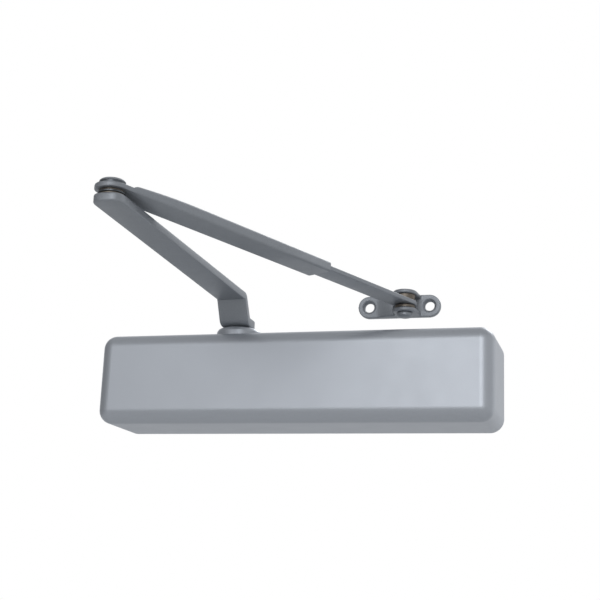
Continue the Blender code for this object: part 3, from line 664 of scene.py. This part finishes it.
# ---------------------------------------------------------------- turned fittings
def make_turned(name, profile, centre, material, body, slot, *nodes, axis="Z", edge=0.3 * MM):
    """A turned fitting with eased edges, which stands for CAD nodes."""
    piece = lathe(name, eased(profile, edge), centre, material, axis)
    return carry(piece, body, slot, *nodes)


def washer_profile(node, inner):
    low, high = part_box(node)
    radius = (high.x - low.x) / 2
    return [(radius, high.z), (radius, low.z), (inner, low.z), (inner, high.z)]


def make_spindle_cap():
    """The stepped ring round the spindle, painted with the cover."""
    low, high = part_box("spindle_cap")
    radius = (high.x - low.x) / 2
    top = high.z
    rim = COVER_HIGH.z
    inner = 7.3 * MM
    profile = [(15.3 * MM, top), (17 * MM, top - 0.9 * MM), (18.1 * MM, top - 2.8 * MM), (radius, rim),
               (radius, low.z + 3 * MM), (15.7 * MM, low.z + 3 * MM), (15.7 * MM, low.z), (inner, low.z),
               (inner, top)]
    centre = (SPINDLE.x, SPINDLE.y, 0)
    make_turned("spindle_cap_ring", profile, centre, COVER_PAINT, "body", "cover_enamel", "spindle_cap",
                edge=0.5 * MM)


def make_elbow():
    """Three washers and the low nut on top of the forearm's plate, round the riveted pin."""
    centre = (ELBOW.x, ELBOW.y, 0)
    for node, material, slot in (("elbow_lower_washer", BRONZE, "oiled_bronze"),
                                 ("elbow_middle_washer", DARK_STEEL, "zinc_steel"),
                                 ("elbow_upper_washer", BRONZE, "oiled_bronze")):
        make_turned(node + "_turned", washer_profile(node, ELBOW_BORE), centre, material, "spindle", slot,
                    node, edge=0.2 * MM)
    low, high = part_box("elbow_cap")
    radius = (high.x - low.x) / 2
    top = high.z
    groove = low.z + 1.9 * MM
    dome = [(0, top), (5.6 * MM, top - 0.05 * MM), (7.4 * MM, top - 0.5 * MM), (radius, top - 1.4 * MM),
            (radius, groove + 0.2 * MM), (radius - 0.35 * MM, groove), (radius - 0.35 * MM, low.z),
            (3.9 * MM, low.z), (3.9 * MM, top - 1.1 * MM), (0, top - 1.1 * MM)]
    cap = lathe("elbow_cap_nut", eased(dome, 0.25 * MM), centre, ARM_PAINT_SHADED)
    # The nut is dark steel. Its faces above the groove take the lighter arm paint as a painted highlight of
    # its lit top. Only the foot below the groove keeps the dark steel.
    cap.data.materials.append(DARK_STEEL)
    for face in cap.data.polygons:
        face.material_index = 1 if face.center.z < groove + 0.1 * MM else 0
    carry(cap, "spindle", "arm_enamel", "elbow_cap")


# ---------------------------------------------------------------- forearm
def forearm_point(distance, aside, up):
    """A point in the forearm's own frame, at a distance from the elbow."""
    along = Vector((math.sin(FOREARM_ANGLE), math.cos(FOREARM_ANGLE), 0))
    across = Vector((math.cos(FOREARM_ANGLE), -math.sin(FOREARM_ANGLE), 0))
    return Vector((ELBOW.x, ELBOW.y, PLATE_MID)) + along * distance + across * aside + Vector((0, 0, up))


def fall(distance):
    return max(distance, 0) * math.tan(FOREARM_FALL)


def make_forearm_tube():
    """The drawn flat tube, pressed to a plate round the elbow and open at its far end."""
    sections = []

    def section(distance, half_width, height, corner, base=None):
        centre = (height - PLATE_THICKNESS) / 2 - fall(distance) if base is None else base - fall(distance)
        ring = rounded_section(half_width, height / 2, corner)
        sections.append([forearm_point(distance, aside, centre + up) for aside, up in ring])

    eye = TUBE_HALF - PLATE_INSET
    for step in range(13):
        angle = math.pi / 2 * (step + 0.35) / 12.35
        section(-eye * math.cos(angle), eye * math.sin(angle), PLATE_THICKNESS, 0.7 * MM)
    section(8.8 * MM, eye, PLATE_THICKNESS, 0.7 * MM)
    for distance, height in TUBE_SWELL:
        ease = (height * MM - PLATE_THICKNESS) / (TUBE_HEIGHT - PLATE_THICKNESS)
        section(distance * MM, TUBE_HALF - PLATE_INSET * (1 - ease), height * MM, (0.7 + 1.1 * ease) * MM)
    section(TUBE_LENGTH - 0.5 * MM, TUBE_HALF, TUBE_HEIGHT, 1.8 * MM)
    section(TUBE_LENGTH, TUBE_HALF - 0.4 * MM, TUBE_HEIGHT - 0.8 * MM, 1.6 * MM, TUBE_RISE)
    bore = TUBE_HALF - TUBE_WALL
    height = TUBE_HEIGHT - 2 * TUBE_WALL
    section(TUBE_LENGTH, bore + 0.2 * MM, height + 0.4 * MM, 1.5 * MM, TUBE_RISE)
    section(TUBE_LENGTH - 0.3 * MM, bore, height, 1.3 * MM, TUBE_RISE)
    section(BORE_START, bore, height, 1.3 * MM, TUBE_RISE)
    tube = skin("forearm_tube_drawn", sections, ARM_PAINT_SHADED)
    holes = [drill(ELBOW_BORE, -OVERCUT, OVERCUT, (ELBOW.x, ELBOW.y, PLATE_MID))]
    for index in (1, 2):
        holes.append(drill(2.3 * MM, -OVERCUT, OVERCUT, middle("clamp_screw_%d" % index)))
    carve(tube, *holes)
    soften(tube, 40)
    return carry(tube, "forearm", "arm_enamel", "forearm_tube")


def make_forearm_rod():
    """The flat rod that slides in the tube and ends in a round eye."""
    def place(distance, aside, up):
        return forearm_point(distance, aside, TUBE_RISE - fall(distance) + up)

    half = ROD_HALF
    outline = [(ROD_START, 0), (ROD_START, half - 1 * MM), (ROD_START + 1 * MM, half)]
    outline += [(ROD_START + (REACH - ROD_START) * step / 12, half) for step in range(1, 12)]
    outline += [(REACH + x, y) for x, y in arc((0, 0), half, 90, 0, 16)]
    outline[-1] = (REACH + half, 0)
    rod = bent_bar("forearm_rod_flat", outline, lambda distance: ROD_HEIGHT, 0.7 * MM, place, ARM_PAINT_SHADED)
    carve(rod, drill(RIVET_BORE, -6 * MM, 6 * MM, (PIN.x, PIN.y, PLATE_MID + TUBE_RISE - fall(REACH))))
    soften(rod, 50)
    return carry(rod, "rod", "arm_enamel", "forearm_rod")


def make_clamp_screws():
    """Two button-head screws with a hexagon socket, which lock the rod."""
    for index in (1, 2):
        node = "clamp_screw_%d" % index
        low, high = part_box(node)
        centre = ((low.x + high.x) / 2, (low.y + high.y) / 2, 0)
        radius = (high.x - low.x) / 2
        seat = high.z - 2.3 * MM
        profile = [(0, high.z), (2.4 * MM, high.z - 0.2 * MM), (radius - 0.2 * MM, seat + 0.8 * MM),
                   (radius, seat), (2 * MM, seat), (2 * MM, low.z), (0, low.z)]
        screw = lathe(node + "_button", eased(profile, 0.3 * MM), centre, ZINC, sides=48)
        socket = lathe("socket", [(0, high.z - 1.4 * MM), (1.45 * MM, high.z - 1.4 * MM),
                                  (1.45 * MM, high.z + 1 * MM), (0, high.z + 1 * MM)], centre, ZINC, sides=6)
        carve(screw, socket)
        carry(soften(screw), "forearm", "zinc_steel", node)


# ---------------------------------------------------------------- shoe
def make_shoe():
    """The forged frame shoe: two lobes, and two lugs that grow out of a swelling web."""
    left = SHOE_LOW.x + LOBE_RADIUS
    right = SHOE_HIGH.x - LOBE_RADIUS
    low = SHOE_LOW.z + SHOE_SKIN
    high = SHOE_HIGH.z - SHOE_SKIN
    lobes = arc((left, SHOE_Z), LOBE_RADIUS, 90, 270, 32) + arc((right, SHOE_Z), LOBE_RADIUS, -90, 90, 32)
    shoe = slab("frame_shoe_forging", lobes, -SHOE_THICKNESS, 0, ARM_PAINT_SHADED, "XZ")
    lug = [(PIN.x + 10.5 * MM, -2 * MM), (PIN.x - 13 * MM, -2 * MM), (PIN.x - LUG_RADIUS, PIN.y + 6 * MM)]
    lug += arc((PIN.x, PIN.y), LUG_RADIUS, 180, 360, 32)
    web = [(left + 4 * MM, -3 * MM)]
    for step in range(13):
        share = step / 12
        rise = share * share * (3 - 2 * share)
        web.append((left + (4 + 17 * share) * MM, -SHOE_THICKNESS + 0.3 * MM - 4.2 * MM * rise))
    web.append((left + 24 * MM, -3 * MM))
    extras = [slab("lower_lug", lug, low, low + LUG_THICKNESS, ARM_PAINT_SHADED),
              slab("upper_lug", lug, high - LUG_THICKNESS, high, ARM_PAINT_SHADED),
              slab("web", web, low, high, ARM_PAINT_SHADED)]
    add_booleans(shoe, "UNION", extras)
    even = shoe.modifiers.new("even", "REMESH")
    even.mode = "VOXEL"
    even.voxel_size = 0.5 * MM
    relax = shoe.modifiers.new("relax", "SMOOTH")
    relax.factor = 0.5
    relax.iterations = 14
    bake_and_clear(shoe, extras)
    cutters = [drill(RIVET_BORE, low - OVERCUT, high + OVERCUT, (PIN.x, PIN.y, 0))]
    for x in (left, right):
        sink = [(0, -8 * MM), (SHOE_HOLE + 4.8 * MM, -8 * MM), (SHOE_HOLE, -3.2 * MM), (SHOE_HOLE, 3 * MM),
                (0, 3 * MM)]
        cutters.append(lathe("sink", sink, (x, 0, SHOE_Z), STEEL, "Y", 48))
    carve(shoe, *cutters)
    soften(shoe, 60)
    return carry(shoe, "shoe", "arm_enamel", "frame_shoe")


def make_shoe_pin():
    """The rivet with two low domed heads, and its washers."""
    centre = (PIN.x, PIN.y, 0)
    low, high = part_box("shoe_rivet")
    top = high.z
    foot = low.z
    head = 6.2 * MM
    seat = foot + 3.9 * MM
    profile = [(0, top), (2.6 * MM, top - 0.1 * MM), (4.4 * MM, top - 0.5 * MM), (5.4 * MM, top - 1.2 * MM),
               (4 * MM, top - 1.3 * MM), (4 * MM, seat), (head, seat),
               (head, foot + 1.6 * MM), (5.4 * MM, foot + 0.7 * MM), (3.6 * MM, foot + 0.2 * MM), (0, foot)]
    make_turned("shoe_rivet_domed", profile, centre, ARM_PAINT_SHADED, "shoe", "arm_enamel", "shoe_rivet")
    for node in ("shoe_lower_washer", "shoe_upper_washer"):
        make_turned(node + "_turned", washer_profile(node, RIVET_BORE), centre, BRONZE, "shoe",
                    "oiled_bronze", node, edge=0.25 * MM)


# ---------------------------------------------------------------- screws
def make_cover_screws():
    """Pan-head screws with a cross recess on top of the cover."""
    for side in ("left", "right"):
        node = "cover_screw_" + side
        low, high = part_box(node)
        centre = ((low.x + high.x) / 2, (low.y + high.y) / 2, 0)
        seat = high.z - 2.2 * MM
        profile = [(0, high.z), (3 * MM, high.z - 0.25 * MM), (4 * MM, high.z - 1 * MM), (4.2 * MM, seat),
                   (2 * MM, seat), (2 * MM, low.z), (0, low.z)]
        screw = lathe(node + "_pan", eased(profile, 0.4 * MM), centre, ZINC, sides=48)
        cutters = []
        for reach_x, reach_y in ((2.1 * MM, 0.42 * MM), (0.42 * MM, 2.1 * MM)):
            corners = [(centre[0] + x * reach_x, centre[1] + y * reach_y) for x, y in QUARTERS]
            cutters.append(slab("recess", corners, high.z - 1.2 * MM, high.z + 1 * MM, ZINC))
        carve(screw, *cutters)
        carry(soften(screw), "body", "zinc_steel", node)


def make_arm_screw():
    """The hexagon screw and washer that hold the arm on the spindle."""
    low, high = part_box("arm_screw")
    centre = Vector((SPINDLE.x, SPINDLE.y, 0))
    head = high.z - 4.4 * MM
    corner = 6.6 * MM
    hexagon = lathe("arm_screw_hex", [(0, high.z), (corner, high.z), (corner, head), (0, head)], centre, ZINC,
                    sides=6)
    crown_top = high.z + 0.02 * MM
    crown_foot = head - 1 * MM
    crown = lathe("crown", [(0, crown_top), (5.4 * MM, crown_top), (6.9 * MM, high.z - 0.9 * MM),
                            (6.9 * MM, crown_foot), (0, crown_foot)], centre, ZINC)
    combine(hexagon, "INTERSECT", crown)
    shank_top = head + 1 * MM
    shank = lathe("shank", [(0, shank_top), (2.9 * MM, shank_top), (2.9 * MM, low.z), (0, low.z)], centre,
                  ZINC, sides=32)
    combine(hexagon, "UNION", shank)
    carry(soften(hexagon), "spindle", "zinc_steel", "arm_screw")
    make_turned("arm_washer_turned", washer_profile("arm_washer", 3.4 * MM), centre, ZINC, "spindle",
                "zinc_steel", "arm_washer")


# ---------------------------------------------------------------- carried-over CAD nodes
NODE_FINISH = {
    "closer_body": IRON,
    "barrel_plug_left": STEEL, "barrel_plug_right": STEEL, "pinion_shaft": STEEL, "rack_piston": STEEL,
    "spring_seat": STEEL, "elbow_pin": STEEL, "power_adjuster": STEEL, "lower_bearing_cap": STEEL,
    "check_ball": STEEL,
    "sweep_valve": ZINC, "latch_valve": ZINC, "backcheck_valve": ZINC,
    "main_spring": WIRE, "inner_spring": WIRE,
    "upper_bearing": BRONZE, "lower_bearing": BRONZE, "check_valve_cage": BRONZE,
    "upper_shaft_seal": RUBBER, "lower_shaft_seal": RUBBER, "piston_ring": RUBBER,
    "plug_ring_left": RUBBER, "plug_ring_right": RUBBER,
}


def finish_nodes():
    """Give every CAD node that stays its real finish."""
    for node, material in NODE_FINISH.items():
        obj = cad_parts[node]
        obj.data.materials.clear()
        obj.data.materials.append(material)
        soften(obj, 30)
    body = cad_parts["closer_body"]
    edges = body.modifiers.new("cast_edges", "BEVEL")
    edges.width = 0.7 * MM
    edges.segments = 2
    edges.limit_method = "ANGLE"
    edges.angle_limit = math.radians(40)


# ---------------------------------------------------------------- studio
def make_floor():
    """A plain pale floor, well below the object."""
    bm = bmesh.new()
    bmesh.ops.create_grid(bm, x_segments=1, y_segments=1, size=FLOOR_HALF)
    bm.transform(Matrix.Translation((0, 0, FLOOR_HEIGHT)))
    material, tree, shader = surface("pale_floor", Roughness=0.9, Metallic=0.0)
    tint(tree, shader, grain(tree, 400 * MM), "d4d5d6", "dadbdc")
    floor = new_object("floor", bm, material)


def aim(obj, target):
    obj.rotation_euler = (Vector(target) - obj.location).to_track_quat("-Z", "Y").to_euler()


def window(tree, value, edge):
    """A soft step from 0 to 1 as a value runs over an edge's two numbers, upwards or downwards."""
    begin, full = edge
    flip = full < begin
    step = add(tree, "ShaderNodeMapRange", {
        "Value": value, "From Min": min(edge), "From Max": max(edge),
        "To Min": 1.0 if flip else 0.0, "To Max": 0.0 if flip else 1.0,
    }, interpolation_type="SMOOTHSTEP")
    return step.outputs["Result"]


def maths(tree, operation, first, second):
    return add(tree, "ShaderNodeMath", {0: first, 1: second}, operation=operation).outputs["Value"]


def make_world():
    """A studio: a wide soft window in front, brighter to the right, and a white sheet behind.

    Sides, top and bottom are dimmer, so that every rounded edge of the paint draws a darker line.
    """
    world = bpy.data.worlds.new("studio")
    bpy.context.scene.world = world
    world.use_nodes = True
    tree = world.node_tree
    tree.nodes.clear()
    place = add(tree, "ShaderNodeTexCoord")
    parts = add(tree, "ShaderNodeSeparateXYZ", {"Vector": place.outputs["Generated"]}).outputs
    spread = add(tree, "ShaderNodeMapRange", {"Value": parts["X"], "From Min": -1.0, "From Max": 1.0})
    ramp = add(tree, "ShaderNodeValToRGB", {"Fac": spread.outputs["Result"]})
    steps = ramp.color_ramp.elements
    ends_first = (FRONT_WINDOW[0], FRONT_WINDOW[-1], *FRONT_WINDOW[1:-1])
    for index, (across, light) in enumerate(ends_first):
        step = steps[index] if index < 2 else steps.new((across + 1) / 2)
        step.position = (across + 1) / 2
        step.color = (light, light, light, 1)
    front = maths(tree, "MULTIPLY", window(tree, parts["Y"], FRONT_EDGE), ramp.outputs["Color"])
    front = maths(tree, "MULTIPLY", front, window(tree, parts["Z"], FRONT_FOOT))
    front = maths(tree, "MULTIPLY", front, window(tree, parts["Z"], FRONT_HEAD))
    behind = maths(tree, "MULTIPLY", window(tree, parts["Y"], BACK_EDGE), BACK_LIGHT)
    total = maths(tree, "MULTIPLY", front, FRONT_LIGHT)
    total = maths(tree, "ADD", total, behind)
    right = maths(tree, "MULTIPLY", window(tree, parts["X"], RIGHT_EDGE), RIGHT_LIGHT)
    top = maths(tree, "MULTIPLY", window(tree, parts["Z"], TOP_EDGE), TOP_LIGHT)
    total = maths(tree, "ADD", total, maths(tree, "ADD", right, top))
    total = maths(tree, "ADD", total, AMBIENT_LIGHT)
    glow = add(tree, "ShaderNodeBackground", {"Color": linear("fafcff"), "Strength": total})
    white = add(tree, "ShaderNodeBackground", {"Color": (1, 1, 1, 1), "Strength": 1.0})
    path = add(tree, "ShaderNodeLightPath")
    mix = add(tree, "ShaderNodeMixShader", {0: path.outputs["Is Camera Ray"], 1: glow.outputs["Background"],
                                            2: white.outputs["Background"]})
    add(tree, "ShaderNodeOutputWorld", {"Surface": mix.outputs["Shader"]})


def make_lights():
    """A broad, soft sun from behind and above, which lights the floor and the tops."""
    light = bpy.data.lights.new("back_sun", "SUN")
    light.energy = SUN_ENERGY
    light.angle = SUN_SPREAD
    obj = bpy.data.objects.new("back_sun", light)
    bpy.context.scene.collection.objects.link(obj)
    obj.location = SUN_PLACE
    aim(obj, (0, 0, 0))


def make_camera():
    """Slightly below the closer and to its right, looking up at it."""
    ahead = Vector((-math.sin(CAMERA_YAW) * math.cos(CAMERA_PITCH),
                    math.cos(CAMERA_YAW) * math.cos(CAMERA_PITCH), math.sin(CAMERA_PITCH)))
    level = Vector((math.cos(CAMERA_YAW), math.sin(CAMERA_YAW), 0))
    upright = level.cross(ahead)
    right = level * math.cos(CAMERA_ROLL) + upright * math.sin(CAMERA_ROLL)
    up = upright * math.cos(CAMERA_ROLL) - level * math.sin(CAMERA_ROLL)
    turn = Matrix((right, up, -ahead)).transposed().to_4x4()
    camera = bpy.data.cameras.new("camera")
    camera.lens = CAMERA_LENS
    camera.sensor_width = SENSOR_WIDTH
    obj = bpy.data.objects.new("camera", camera)
    bpy.context.scene.collection.objects.link(obj)
    obj.matrix_world = Matrix.Translation(CAMERA_PLACE) @ turn
    bpy.context.scene.camera = obj
    bpy.context.scene.view_settings.view_transform = "Standard"


make_camera()
make_world()
make_lights()
make_floor()
make_cover()
make_main_arm()
make_spindle_cap()
make_elbow()
make_forearm_tube()
make_forearm_rod()
make_clamp_screws()
make_shoe()
make_shoe_pin()
make_cover_screws()
make_arm_screw()
finish_nodes()
